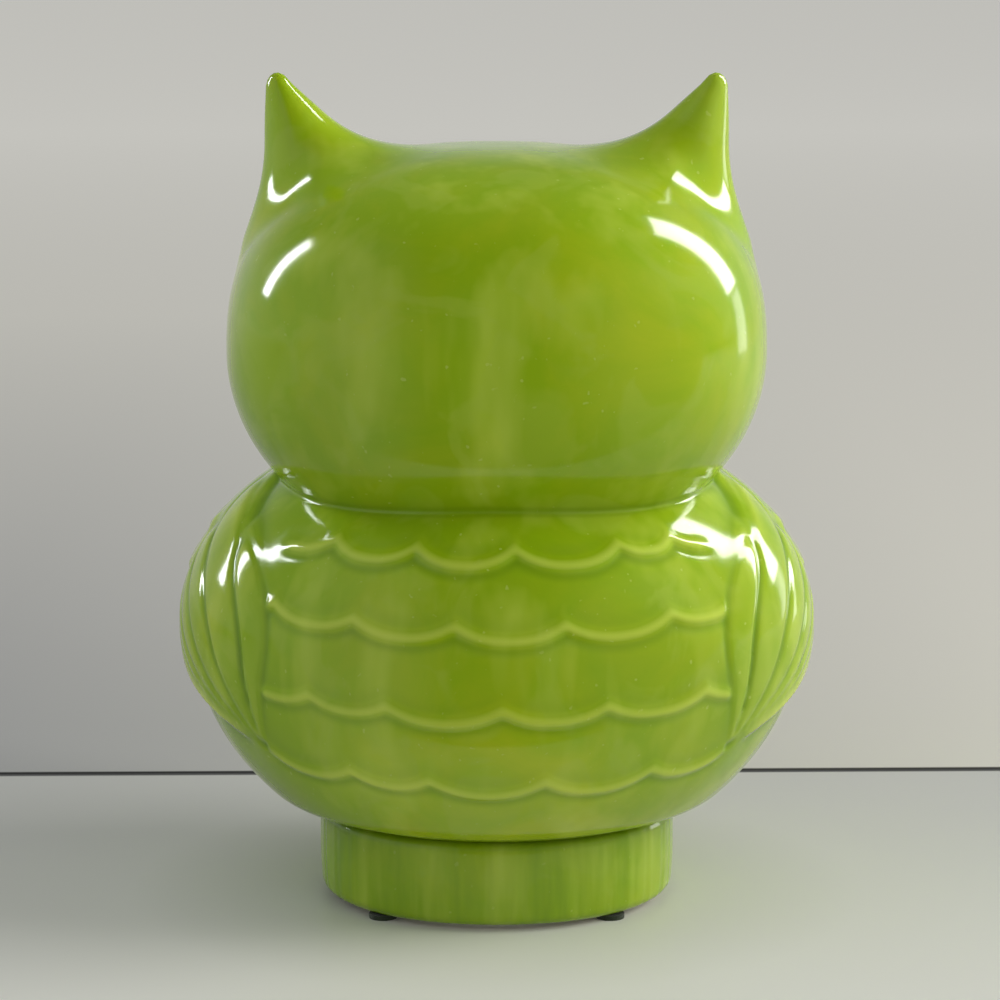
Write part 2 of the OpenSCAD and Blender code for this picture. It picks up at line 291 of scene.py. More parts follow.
class OwlForm:
    """The owl's outside and inside, worked out from its sizes."""

    def __init__(self, shape):
        self.s = s = shape
        self.foot_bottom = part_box("owl_shell")[0].z
        self.body_level = s.foot_height + s.belly_height
        self.neck_level = self.body_level + s.shoulder_height
        self.head_level = self.neck_level + s.cheek_height
        self.crown_level = self.head_level + s.crown_height
        self.ear_level = self.crown_level + s.ear_height
        self.floor_under = self.foot_bottom + s.recess_height
        self.floor_top = self.floor_under + s.wall
        self.eye_point = np.array((0, 0, self.neck_level - EYE_DROP))
        neck = s.head_width - 2 * s.neck_inset
        rim = s.foot_width + 2 * s.overhang
        self.belly_drop = s.belly_height / math.sqrt(1 - (rim / s.body_width) ** 2)
        self.shoulder_rise = s.shoulder_height / math.sqrt(1 - (neck / s.body_width) ** 2)
        self.head_drop = s.cheek_height / math.sqrt(1 - (neck / s.head_width) ** 2)
        lean = np.array((math.sin(s.ear_lean), 0, math.cos(s.ear_lean)))
        self.ear_top = np.array((s.head_width / 2 - s.ear_inset, 0, self.ear_level - s.ear_tip))
        self.ear_root = self.ear_top - EAR_LENGTH * lean
        self.ear_root_radius = s.ear_tip + EAR_LENGTH * math.sin(s.ear_lean)
        face_out = s.ear_tip + EAR_FACE_DOWN * math.sin(s.ear_lean) - EAR_FACE_CUT
        self.ear_face = self.ear_top - EAR_FACE_DOWN * lean + face_out * np.array(EAR_FACE)

    def head(self, p, inset=0.0):
        q = p - (0, 0, self.head_level)
        half = [self.s.head_width / 2 - inset, self.s.head_depth / 2 - inset]
        upper = ball(q, half + [self.s.crown_height - inset], HEAD_PLAN_ROUND, CROWN_ROUND)
        lower = ball(q, half + [self.head_drop - inset], HEAD_PLAN_ROUND, PLAN_ROUND)
        return np.where(q[:, 2] > 0, upper, lower)

    def ears(self, p):
        tip = self.s.ear_tip
        ear = round_cone(mirrored(p), self.ear_root, self.ear_top, self.ear_root_radius, tip)
        face = (np.abs(p) * (1, 1, 0) + p * (0, 0, 1) - self.ear_face) @ np.array(EAR_FACE)
        return trim(ear, face, EAR_FACE_BLEND)

    def ear_blend(self, p):
        off_middle = 1 - np.exp(-((p[:, 1] / EAR_BLEND_REACH) ** 2))
        outward = soft_step((np.abs(p[:, 0]) - self.ear_root[0]) / EAR_BLEND_REACH)
        return EAR_BLEND - (EAR_BLEND - EAR_BLEND_BACK) * off_middle * outward

    def beak(self, p):
        front = BEAK_INSIDE - self.s.head_depth / 2
        root = np.array((0, front, self.head_level - BEAK_BELOW))
        return round_cone(p, root, root + BEAK_RUN, *BEAK_RADII)

    def body(self, p, inset=0.0):
        q = p - (0, 0, self.body_level)
        half = [self.s.body_width / 2 - self.s.wing_raise - inset, self.s.body_depth / 2 - inset]
        upper = ball(q, half + [self.shoulder_rise - inset], PLAN_ROUND, PLAN_ROUND)
        lower = ball(q, half + [self.belly_drop - inset], PLAN_ROUND, PLAN_ROUND)
        return np.where(q[:, 2] > 0, upper, lower)

    def foot(self, p):
        wall = column(p, self.s.foot_width / 2, self.s.foot_depth / 2, FOOT_ROUND)
        wall = trim(wall, self.foot_bottom - p[:, 2], FOOT_EDGE)
        return trim(wall, p[:, 2] - self.body_level, FOOT_EDGE)

    def toes(self, p):
        q = mirrored(p)
        front = -self.s.foot_depth / 2
        nearest = None
        for x, back, out in TOES:
            root = np.array((x, front + back, self.s.foot_height - TOE_DROPS[0]))
            tip = np.array((x, front - out, self.s.foot_height - TOE_DROPS[1]))
            toe = round_cone(q, root, tip, *TOE_RADII)
            nearest = toe if nearest is None else join(nearest, toe, TOE_BLEND)
        return nearest

    def outside(self, p):
        head = join(self.head(p), self.ears(p), self.ear_blend(p))
        head = join(head, self.beak(p), FRONT_BLEND)
        body = trim(self.body(p), self.s.foot_height - p[:, 2], LEDGE_BLEND)
        stand = join(join(body, self.foot(p), FOOT_BLEND), self.toes(p), FRONT_BLEND / 2)
        return join(head, stand, NECK_BLEND)

    def inside(self, p):
        wall = self.s.wall
        body = trim(self.body(p, wall), self.s.foot_height + wall - p[:, 2], LEDGE_BLEND)
        foot = column(p, self.s.foot_width / 2 - wall, self.s.foot_depth / 2 - wall, FOOT_ROUND)
        foot = np.maximum(foot, p[:, 2] - self.body_level)
        return join(join(self.head(p, wall), body, 2 * NECK_BLEND), foot, LEDGE_BLEND)

    def reach(self, field, polar, azimuth, halvings=22):
        """Points where rays from the eye point leave a form."""
        way = np.column_stack(
            (np.sin(polar) * np.cos(azimuth), np.sin(polar) * np.sin(azimuth), np.cos(polar))
        )
        low = np.zeros(len(way))
        high = np.full(len(way), 0.2)
        for _ in range(halvings):
            middle = (low + high) / 2
            within = field(self.eye_point + middle[:, None] * way) < 0
            low = np.where(within, middle, low)
            high = np.where(within, high, middle)
        return low, self.eye_point + low[:, None] * way

    def normals(self, p, step=0.0003):
        slope = np.empty_like(p)
        for axis in range(3):
            shift = np.zeros(3)
            shift[axis] = step
            slope[:, axis] = self.outside(p + shift) - self.outside(p - shift)
        return slope / (np.linalg.norm(slope, axis=1)[:, None] + TINY)

    def crease_polar(self, azimuth):
        """Polar angle of the neck crease, where the head and the body are equally far out."""
        low = np.full(len(azimuth), math.radians(55))
        high = np.full(len(azimuth), math.radians(100))
        for _ in range(20):
            middle = (low + high) / 2
            head = self.reach(self.head, middle, azimuth)[0]
            body = self.reach(self.body, middle, azimuth)[0]
            low = np.where(head > body, middle, low)
            high = np.where(head > body, high, middle)
        return low

    def foot_outline(self, azimuth, inset):
        half_x = self.s.foot_width / 2 - inset
        half_y = self.s.foot_depth / 2 - inset
        flat = (np.abs(np.cos(azimuth)) / half_x) ** FOOT_ROUND
        flat += (np.abs(np.sin(azimuth)) / half_y) ** FOOT_ROUND
        return flat ** (-1 / FOOT_ROUND)

    def ledge_polar(self, azimuth):
        drop = self.s.foot_height - self.eye_point[2]
        return np.arctan2(self.foot_outline(azimuth, 0), drop)


# ---------------------------------------------------------------- relief

# Feather rows round the back: level of the cusps, how much they rise towards the wings,
# and the cusps in degrees round from the middle of the back, towards -X.
BACK_ROWS = (
    (0.0845, 0.0005, (-58, -38, -18, 4, 28, 42, 60)),
    (0.0703, 0.0016, (-66, -47, -28, -8, 13, 35, 52, 70)),
    (0.0534, 0.0014, (-70, -53, -37, -21, 1, 21, 42, 60)),
    (0.0372, 0.0026, (-70, -52, -31, -14, 10, 33, 53, 72)),
)
BACK_EDGE = 50.0
SCALLOP_CURVE = 2.3
CHEST_ROWS = (0.0850, 0.0730, 0.0610, 0.0490, 0.0370)
CHEST_SCALLOP = 15.0
CHEST_EDGE = 68.0
CHEST_DEEPER = 1.5

# Long wing feathers, back to front: degrees behind the owl's side at the widest level, half the
# width there in degrees, and the level of the top. All of them run down to one tip.
WING_FEATHERS = (
    (39.5, 3.9, 0.0805),
    (28.5, 5.7, 0.0885),
    (17.5, 5.2, 0.0790),
    (7.5, 4.8, 0.0745),
    (-2.0, 4.6, 0.0710),
    (-11.0, 4.4, 0.0680),
    (-19.5, 4.2, 0.0650),
)
WING_TIP = (37.5, 0.0405)
WING_MIDDLE = 0.0737
WING_FAN = 1.6
WING_LEAN = 12.0
WING_LEAN_FROM = 0.060
WING_REAR = 45.0
WING_SWELL = 34.0
# The wing's relief as shares of the wing's height: the whole plate, the seams between feathers,
# the groove round them, and the crowning of the feathers and of the shoulder.
WING_PLATE = 0.88
WING_SEAM = 0.25
WING_RIM = 0.15
WING_CROWNING = 0.15
SHOULDER_CROWNING = 0.12
# The shoulder: its middle in degrees and its level, and half its size in degrees and in height.
SHOULDER = (-14.0, 0.0735, 18.0, 0.0140)
SHOULDER_ROWS = (0.0800, 0.0725, 0.0650)
SHOULDER_SCALLOP = 9.0
SHOULDER_RADIUS = 0.066


def scallop_edge(round_angle, cusps, depth):
    """Depth of a scalloped edge below its cusps, and its slope per degree."""
    cusps = np.asarray(cusps, float)
    i = np.clip(np.searchsorted(cusps, round_angle) - 1, 0, len(cusps) - 2)
    width = cusps[i + 1] - cusps[i]
    t = np.clip((round_angle - cusps[i]) / width * 2 - 1, -1, 1)
    share = np.minimum(width / 20, 1.15)
    drop = depth * share * (1 - np.abs(t) ** SCALLOP_CURVE)
    slope = depth * share * -SCALLOP_CURVE * np.sign(t) * np.abs(t) ** (SCALLOP_CURVE - 1) * 2 / width
    return drop, slope


def ridge(below, relief):
    """Height across a feather's edge. below is the distance past the edge, downwards."""
    width = relief.ridge_width
    above = np.exp(-((np.minimum(below, 0) / (1.5 * width)) ** 2))
    under = np.exp(-((np.maximum(below, 0) / (0.52 * width)) ** 2))
    dip = np.exp(-(((below - 1.15 * width) / (0.75 * width)) ** 2))
    return relief.ridge * (np.where(below < 0, above, under) - 0.32 * dip)


def row_relief(round_angle, z, radius, level, rise, cusps, relief, deeper=1.0):
    drop, slope = scallop_edge(round_angle, cusps, deeper * relief.scallop)
    edge = level + rise * (round_angle / 50) ** 2 - drop
    slope = slope / (np.radians(1) * radius)
    return ridge((edge - z) / np.sqrt(1 + slope**2), relief)


def wing_relief(side_angle, p, form, relief):
    """Height of the wing over the body, and the share of it that covers the body."""
    z = p[:, 2]
    tip_angle, tip_level = WING_TIP
    t = np.clip((z - tip_level) / (WING_MIDDLE - tip_level), 0, 1)
    fan = 1 - (1 - t) ** WING_FAN
    lean = WING_LEAN * np.clip((z - WING_LEAN_FROM) / 0.02, 0, 1.6) ** 2
    taper = 0.15 + 1.10 * t
    lobes = []
    for middle, half, top in WING_FEATHERS:
        width = half * taper
        across = (side_angle - tip_angle - (middle - tip_angle) * fan + lean) / width
        arch = 1.7 * math.radians(half) * form.s.body_width / 2
        up = np.maximum(z - (top - arch), 0) / arch
        down = np.maximum(tip_level + 0.003 - z, 0) / 0.003
        lobes.append(1 - across**2 - up**2.2 - down**2)
    lobes = np.sort(np.stack(lobes), axis=0)
    first, second = lobes[-1], lobes[-2]
    inward = 1 - np.sqrt(1 - first)
    angle, level, half_angle, half_level = SHOULDER
    shoulder = 1 - ((side_angle - angle) / half_angle) ** 2 - ((z - level) / half_level) ** 2
    feathers = soft_step((inward + 0.22) / 0.22)
    coverts = soft_step((shoulder + 0.20) / 0.45)
    cover = np.maximum(feathers, coverts)
    swell = soft_step((WING_REAR - side_angle) / WING_SWELL)
    beyond = np.maximum(inward * taper, 0.5 * shoulder)
    plate = soft_step(1 + beyond / 1.2) * swell * soft_step((z - tip_level + 0.010) / 0.014)
    seam = np.exp(-(((first - second) / 0.42) ** 2)) * feathers * (1 - coverts)
    rim = np.exp(-(((inward + 0.16) / 0.13) ** 2)) * (1 - coverts)
    height = WING_PLATE * plate - WING_SEAM * seam - WING_RIM * rim
    height += WING_CROWNING * np.clip(first, 0, 1) ** 0.5 * (1 - coverts)
    height += SHOULDER_CROWNING * coverts * np.clip(shoulder + 0.2, 0, 1)
    height = height * form.s.wing_raise
    for k, row_level in enumerate(SHOULDER_ROWS):
        cusps = np.arange(-46 + SHOULDER_SCALLOP / 2 * (k % 2), 32, SHOULDER_SCALLOP)
        row = row_relief(side_angle, z, SHOULDER_RADIUS, row_level, 0.0, cusps, relief)
        height += 0.75 * row * soft_step((shoulder - 0.02) / 0.25)
    return height, cover


def body_relief(p, form, relief):
    z = p[:, 2]
    radius = np.hypot(p[:, 0], p[:, 1])
    side_angle = np.degrees(np.arctan2(p[:, 1], np.abs(p[:, 0])))
    back_angle = np.degrees(np.arctan2(-p[:, 0], p[:, 1]))
    front_angle = np.degrees(np.arctan2(p[:, 0], -p[:, 1]))
    height, cover = wing_relief(side_angle, p, form, relief)
    bare = 1 - soft_step(cover * 3)
    for level, rise, cusps in BACK_ROWS:
        row = row_relief(back_angle, z, radius, level, rise, cusps, relief)
        height = height + row * bare * soft_step((BACK_EDGE + 4 - np.abs(back_angle)) / 6)
    for k, level in enumerate(CHEST_ROWS):
        cusps = np.arange(-67.5 + CHEST_SCALLOP / 2 * (k % 2), 75, CHEST_SCALLOP)
        row = row_relief(front_angle, z, radius, level, 0.001, cusps, relief, CHEST_DEEPER)
        height = height + row * bare * soft_step((CHEST_EDGE - np.abs(front_angle)) / 6)
    return height


def head_relief(p, form, relief):
    from_beak, fade = BEAK_CLEAR
    front = soft_step(-p[:, 1] / 0.01) * soft_step((form.beak(p) - from_beak) / fade)
    across = np.abs(p[:, 0]) - form.s.head_width * EYE_ACROSS
    up = p[:, 2] - (form.head_level + EYE_UP)
    d = np.hypot(across, up) / relief.eye_radius
    angle = np.arctan2(up, across)
    raised = soft_step((1.12 - d) / 0.24)
    groove = -0.30 * np.exp(-(((d - 0.80) / 0.055) ** 2))
    disc = 0.42 * soft_step((0.60 - d) / 0.10) * np.sqrt(np.clip(1 - 0.8 * d**2, 0, 1))
    pupil = -0.34 * soft_step((0.27 - d) / 0.07)
    spokes = 0.10 * np.cos(22 * angle) * soft_step((d - 0.58) / 0.06) * soft_step((0.78 - d) / 0.06)
    return relief.eye_raise * front * (raised + (groove + disc + pupil + spokes) * (d < 1.1))


def slot_lip(p, form):
    """Drop of the surface towards the coin slot, so that its edge is round."""
    s = form.s
    half = s.slot_length / 2 - s.slot_width / 2
    dx = np.maximum(np.abs(p[:, 0]) - half, 0)
    out = np.hypot(dx, p[:, 1] + s.slot_forward) - s.slot_width / 2
    return -round_off(SLOT_LIP, out) * (p[:, 2] > form.head_level)


# ---------------------------------------------------------------- meshes

SHARP_ANGLE = math.radians(38)
MERGE = 2e-6


def mesh_of(bm, name):
    mesh = bpy.data.meshes.new(name)
    bm.to_mesh(mesh)
    bm.free()
    return mesh


def put_in_scene(name, data):
    """A new object in the scene, with a mesh, a light or a camera."""
    one = bpy.data.objects.new(name, data)
    bpy.context.scene.collection.objects.link(one)
    return one


def columns_of(count):
    """Azimuths round the owl, closer together at the wings and the back than at the front."""
    even = np.linspace(-math.pi, math.pi, 4096)
    crowd = even - 0.25 * np.cos(even) + 0.125 * np.sin(2 * even)
    crowd -= crowd[0]
    wanted = np.arange(count) / count * crowd[-1]
    return np.interp(wanted, crowd, even)


def spun_grid(rings, columns):
    """A spun tube of radius 1 whose ring k is at height k, so each point tells its ring."""
    bm = bmesh.new()
    line = [bm.verts.new((1, 0, k)) for k in range(rings)]
    edges = [bm.edges.new(pair) for pair in zip(line, line[1:])]
    bmesh.ops.spin(
        bm, geom=line + edges, cent=(0, 0, 0), axis=(0, 0, 1), dvec=(0, 0, 0),
        angle=2 * math.pi, steps=columns, use_merge=True, use_duplicate=False,
    )
    mesh = mesh_of(bm, "grid")
    flat = np.empty(len(mesh.vertices) * 3)
    mesh.vertices.foreach_get("co", flat)
    co = flat.reshape(-1, 3)
    ring = np.rint(co[:, 2]).astype(int)
    turn = np.mod(np.arctan2(co[:, 1], co[:, 0]) / (2 * math.pi) * columns, columns)
    return mesh, ring, np.mod(np.rint(turn).astype(int), columns)


def settle(name, mesh, points, **attributes):
    """Moves a grid's points to their places, closes its seams and returns its object."""
    mesh.vertices.foreach_set("co", np.ascontiguousarray(points, dtype=np.float32).ravel())
    for label, values in attributes.items():
        layer = mesh.attributes.new(label, "FLOAT", "POINT")
        layer.data.foreach_set("value", np.ascontiguousarray(values, dtype=np.float32))
    bm = bmesh.new()
    bm.from_mesh(mesh)
    bmesh.ops.remove_doubles(bm, verts=bm.verts, dist=MERGE)
    bmesh.ops.dissolve_degenerate(bm, edges=bm.edges, dist=1e-6)
    bmesh.ops.recalc_face_normals(bm, faces=bm.faces)
    finish_mesh(bm, mesh)
    mesh.name = name
    return put_in_scene(name, mesh)


def finish_mesh(bm, mesh):
    """Shades a mesh smooth but for its sharp edges, and writes it back."""
    for face in bm.faces:
        face.smooth = True
    for edge in bm.edges:
        edge.smooth = len(edge.link_faces) == 2 and edge.calc_face_angle(0) < SHARP_ANGLE
    bm.to_mesh(mesh)
    bm.free()
    mesh.update()


def spread(count, *stops):
    """Values from 0 to 1 with their own density: stops are (share of the count, value)."""
    shares, values = zip(*stops)
    return np.interp(np.linspace(0, 1, count), shares, values)


def blurred(grid, times):
    """A height grid smoothed over its neighbours, round the owl and along it."""
    for _ in range(times):
        padded = np.pad(grid, ((1, 1), (0, 0)), mode="edge")
        grid = (padded[:-2] + 2 * grid + padded[2:]) / 4
        grid = (np.roll(grid, 1, axis=1) + 2 * grid + np.roll(grid, -1, axis=1)) / 4
    return grid


def skin(form, polar, azimuth, relief_of, pooling=0.00038):
    """An outer skin: rings of points with relief, and how the glaze lies on them.

    polar holds a ring in each row. The glaze's lie is above 0 where it pools and below 0 where
    it runs thin.
    """
    rings, columns = polar.shape
    around = np.broadcast_to(azimuth, polar.shape).ravel()
    base = form.reach(form.outside, polar.ravel(), around)[1]
    out = form.normals(base)
    grid = blurred(relief_of(base).reshape(rings, columns), 1)
    points = base + grid.ravel()[:, None] * out
    lie = (0.75 * blurred(grid, 24) + 0.25 * blurred(grid, 60) - blurred(grid, 1)) / pooling
    return points.reshape(rings, columns, 3), np.clip(lie, -1.5, 1.5)


def ring_grid(form, field, polar, azimuth):
    around = np.broadcast_to(azimuth, polar.shape).ravel()
    return form.reach(field, polar.ravel(), around)[1].reshape(*polar.shape, 3)


def between(start, end, shares):
    """Rings of polar angles from start to end, which hold one angle for each column."""
    return start + shares[:, None] * (end - start)


def piece_from_rings(name, rings, lies, columns, poles=(False, False)):
    """A closed piece from rings of points, top to bottom. A pole ring shrinks to one point."""
    rings = np.concatenate(rings)
    lies = np.concatenate(lies)
    for row, is_pole in zip((0, -1), poles):
        if is_pole:
            rings[row] = rings[row].mean(axis=0)
    mesh, ring, turn = spun_grid(len(rings), columns)
    return settle(name, mesh, rings[ring, turn], glaze_lie=lies[ring, turn])


def crease_pool_and_shade(points, crease, width=0.0012):
    """Glaze that has run into a crease, with painted shade where shade falls in it, by distance from
    the crease's ring.
    """
    gap = np.linalg.norm(points - crease[None], axis=2)
    return 0.5 * np.exp(-((gap / width) ** 2))


def droop_beak(points, form):
    """Draws the beak's point down, as no line from the eye point can reach its underside."""
    rise = form.head(points.reshape(-1, 3)).reshape(points.shape[:2]) - BEAK_STANDS
    middle = soft_step((BEAK_HALF - np.abs(points[:, :, 0])) / (BEAK_HALF / 2))
    rise = np.maximum(rise, 0) * soft_step(rise / BEAK_START) * middle
    on_face = (points[:, :, 1] < 0) * (points[:, :, 2] < form.crown_level - BEAK_CROWN)
    points[:, :, 2] -= BEAK_DROOP * rise * on_face


def make_head(form, relief, azimuth):
    crease = form.crease_polar(azimuth)
    shares = spread(
        142, (0, 0), (0.05, 0.075), (0.30, 0.20), (0.54, 0.42), (0.88, 0.94), (1, 1)
    )
    polar = between(0.0, crease, shares)
    outer, lie = skin(
        form, polar, azimuth, lambda p: head_relief(p, form, relief) + slot_lip(p, form)
    )
    droop_beak(outer, form)
    # The neck crease is darkened: partly pooled glaze, partly painted shade in the crease.
    lie = lie * 0.8 + crease_pool_and_shade(outer, outer[-1])
    inner_polar = between(0.0, crease, np.linspace(1, 0, 14))
    inner = ring_grid(form, form.inside, inner_polar, azimuth)
    lies = [lie, np.zeros(inner.shape[:2])]
    head = piece_from_rings("owl_head", [outer, inner], lies, len(azimuth), (True, True))
    cut_slot(head, form)
    return head


def cut_slot(head, form):
    """Cuts the coin slot through the crown."""
    s = form.s
    bm = bmesh.new()
    bmesh.ops.create_cube(bm, size=1.0)
    bmesh.ops.scale(bm, vec=(s.slot_length, s.slot_width, 6 * s.wall), verts=bm.verts)
    upright = [e for e in bm.edges if abs(e.verts[0].co.z - e.verts[1].co.z) > s.wall]
    bmesh.ops.bevel(
        bm, geom=upright, offset=s.slot_width / 2 * 0.998, segments=12, profile=0.5,
        affect="EDGES", material=-1,
    )
    bmesh.ops.translate(bm, vec=(0, -s.slot_forward, form.crown_level - s.wall), verts=bm.verts)
    bmesh.ops.recalc_face_normals(bm, faces=bm.faces)
    cutter = put_in_scene("slot_cutter", mesh_of(bm, "slot_cutter"))
    cut = head.modifiers.new("slot", "BOOLEAN")
    cut.operation = "DIFFERENCE"
    cut.solver = "EXACT"
    cut.object = cutter
    bpy.context.view_layer.objects.active = head
    bpy.ops.object.modifier_apply(modifier=cut.name)
    bpy.data.objects.remove(cutter)
    bm = bmesh.new()
    bm.from_mesh(head.data)
    bmesh.ops.remove_doubles(bm, verts=bm.verts, dist=MERGE)
    finish_mesh(bm, head.data)


def make_body(form, relief, azimuth):
    crease = form.crease_polar(azimuth)
    ledge = form.ledge_polar(azimuth)
    shares = spread(150, (0, 0), (0.05, 0.02), (0.90, 0.88), (0.96, 0.94), (1, 1))
    polar = between(crease, ledge, shares)
    outer, lie = skin(form, polar, azimuth, lambda p: body_relief(p, form, relief))
    # Darker in the neck crease and at the belly's lower edge: partly pooled glaze, partly painted shade
    # where the overhang shades the crease.
    lie = lie + crease_pool_and_shade(outer, outer[0]) + crease_pool_and_shade(outer, outer[-1], 0.003)
    inner = ring_grid(form, form.inside, between(crease, ledge, np.linspace(1, 0, 10)), azimuth)
    bare = np.zeros(inner.shape[:2])
    rings = [outer, inner, outer[:1]]
    lies = [lie, bare, lie[:1]]
    return piece_from_rings("owl_body", rings, lies, len(azimuth))


def flat_ring(azimuth, radius, level):
    radius = np.broadcast_to(radius, azimuth.shape)
    level = np.broadcast_to(level, azimuth.shape)
    return np.stack((radius * np.cos(azimuth), radius * np.sin(azimuth), level), axis=-1)


def make_foot(form, relief, azimuth):
    s = form.s
    ledge = form.ledge_polar(azimuth)
    toe_line = form.foot_outline(azimuth, FOOT_EDGE / 2)
    end = np.arctan2(toe_line, form.foot_bottom - form.eye_point[2])
    shares = spread(56, (0, 0), (0.8, 0.86), (1, 1))

    def ripples(p):
        """Fine upright ripples, as a brush leaves them."""
        around = np.arctan2(p[:, 1], p[:, 0])
        return relief.flute * (np.sin(61 * around) + 0.7 * np.sin(97 * around + 2.0))

    outer, lie = skin(form, between(ledge, end, shares), azimuth, ripples)
    # The foot's top under the belly's ledge is darkened: partly pooled glaze, partly painted shade cast
    # by the overhanging belly.
    lie = 0.5 * lie + crease_pool_and_shade(outer, outer[0], 0.002)
    drawn_in = round_off(FOOT_SHOULDER, outer[:1, :, 2] - outer[:, :, 2])
    drawn_in *= soft_step((outer[:, :, 1] + TOES_FROM * s.foot_depth / 2) / TOES_FADE)
    above = outer[:, :, 2] - form.foot_bottom
    drawn_in += round_off(FOOT_HEEL, above)
    drawn_in += FOOT_BULGE * np.clip(1 - 2 * above / (s.foot_height - form.foot_bottom), 0, 1) ** 2
    outer[:, :, :2] *= (1 - drawn_in / np.hypot(outer[:, :, 0], outer[:, :, 1]))[:, :, None]
    edge = FLOOR_LIP
    bottom, under, top = form.foot_bottom, form.floor_under, form.floor_top
    recess, hole = s.recess_radius, s.hole_radius
    arcs = []
    for radius, level, start, sweep in (
        (recess + edge, bottom + edge, -90, -90),
        (recess - edge, under - edge, 0, 90),
        (hole + edge, under + edge, -90, -90),
        (hole + edge, top - edge, 180, -90),
    ):
        for step in range(5):
            angle = math.radians(start + sweep * step / 4)
            arcs.append((radius + edge * math.cos(angle), level + edge * math.sin(angle)))
    under_rings = np.stack([flat_ring(azimuth, r, z) for r, z in arcs])
    inner_wall = form.foot_outline(azimuth, s.wall)
    floor = flat_ring(azimuth, inner_wall - FLOOR_SEAM, top)[None]
    floor_polar = np.arctan2(inner_wall, top + 2 * FLOOR_SEAM - form.eye_point[2])
    inner = ring_grid(form, form.inside, between(ledge, floor_polar, np.linspace(1, 0, 5)), azimuth)
    rings = [outer, under_rings, floor, inner, outer[:1]]
    lies = [lie] + [np.zeros(r.shape[:2]) for r in rings[1:4]] + [lie[:1]]
    return piece_from_rings("owl_foot", rings, lies, len(azimuth))


# ---------------------------------------------------------------- materials


class Nodes:
    """Short forms for building the node tree of a material or a world."""

    def __init__(self, owner):
        owner.use_nodes = True
        self.tree = owner.node_tree
        self.shader = self.tree.nodes.get("Principled BSDF")

    def add(self, kind, numbers=None, **settings):
        node = self.tree.nodes.new(kind)
        for name, value in settings.items():
            setattr(node, name, value)
        for socket, number in (numbers or {}).items():
            node.inputs[socket].default_value = number
        return node

    def link(self, source, target):
        self.tree.links.new(source, target)

    def value(self, socket, number):
        self.shader.inputs[socket].default_value = number

    def feed(self, socket, source):
        self.link(source, self.shader.inputs[socket])

    def place(self, scale=(1, 1, 1)):
        coordinates = self.add("ShaderNodeTexCoord")
        mapping = self.add("ShaderNodeMapping", {"Scale": scale})
        self.link(coordinates.outputs["Object"], mapping.inputs["Vector"])
        return mapping.outputs["Vector"]

    def noise(self, scale, detail=4.0, stretch=(1, 1, 1), roughness=0.55, distortion=0.0):
        numbers = {"Scale": scale, "Detail": detail, "Roughness": roughness}
        node = self.add("ShaderNodeTexNoise", {**numbers, "Distortion": distortion})
        self.link(self.place(stretch), node.inputs["Vector"])
        return node.outputs["Fac"]

    def ranged(self, source, low, high, to_low=0.0, to_high=1.0):
        numbers = {"From Min": low, "From Max": high, "To Min": to_low, "To Max": to_high}
        node = self.add("ShaderNodeMapRange", numbers)
        self.link(source, node.inputs["Value"])
        return node.outputs["Result"]

    def math(self, operation, a, b):
        node = self.add("ShaderNodeMath", operation=operation)
        for socket, source in zip(node.inputs, (a, b)):
            if isinstance(source, (int, float)):
                socket.default_value = source
            else:
                self.link(source, socket)
        return node.outputs[0]

    def mix(self, factor, a, b):
        node = self.add("ShaderNodeMix", data_type="RGBA")
        for socket, source in (("Factor", factor), (6, a), (7, b)):
            target = node.inputs[socket]
            if hasattr(source, "is_linked"):
                self.link(source, target)
            elif isinstance(source, (int, float)):
                target.default_value = source
            else:
                target.default_value = (*source, 1)
        return node.outputs[2]

    def bump(self, source, strength, distance):
        node = self.add("ShaderNodeBump", {"Strength": strength, "Distance": distance})
        self.link(source, node.inputs["Height"])
        self.feed("Normal", node.outputs["Normal"])


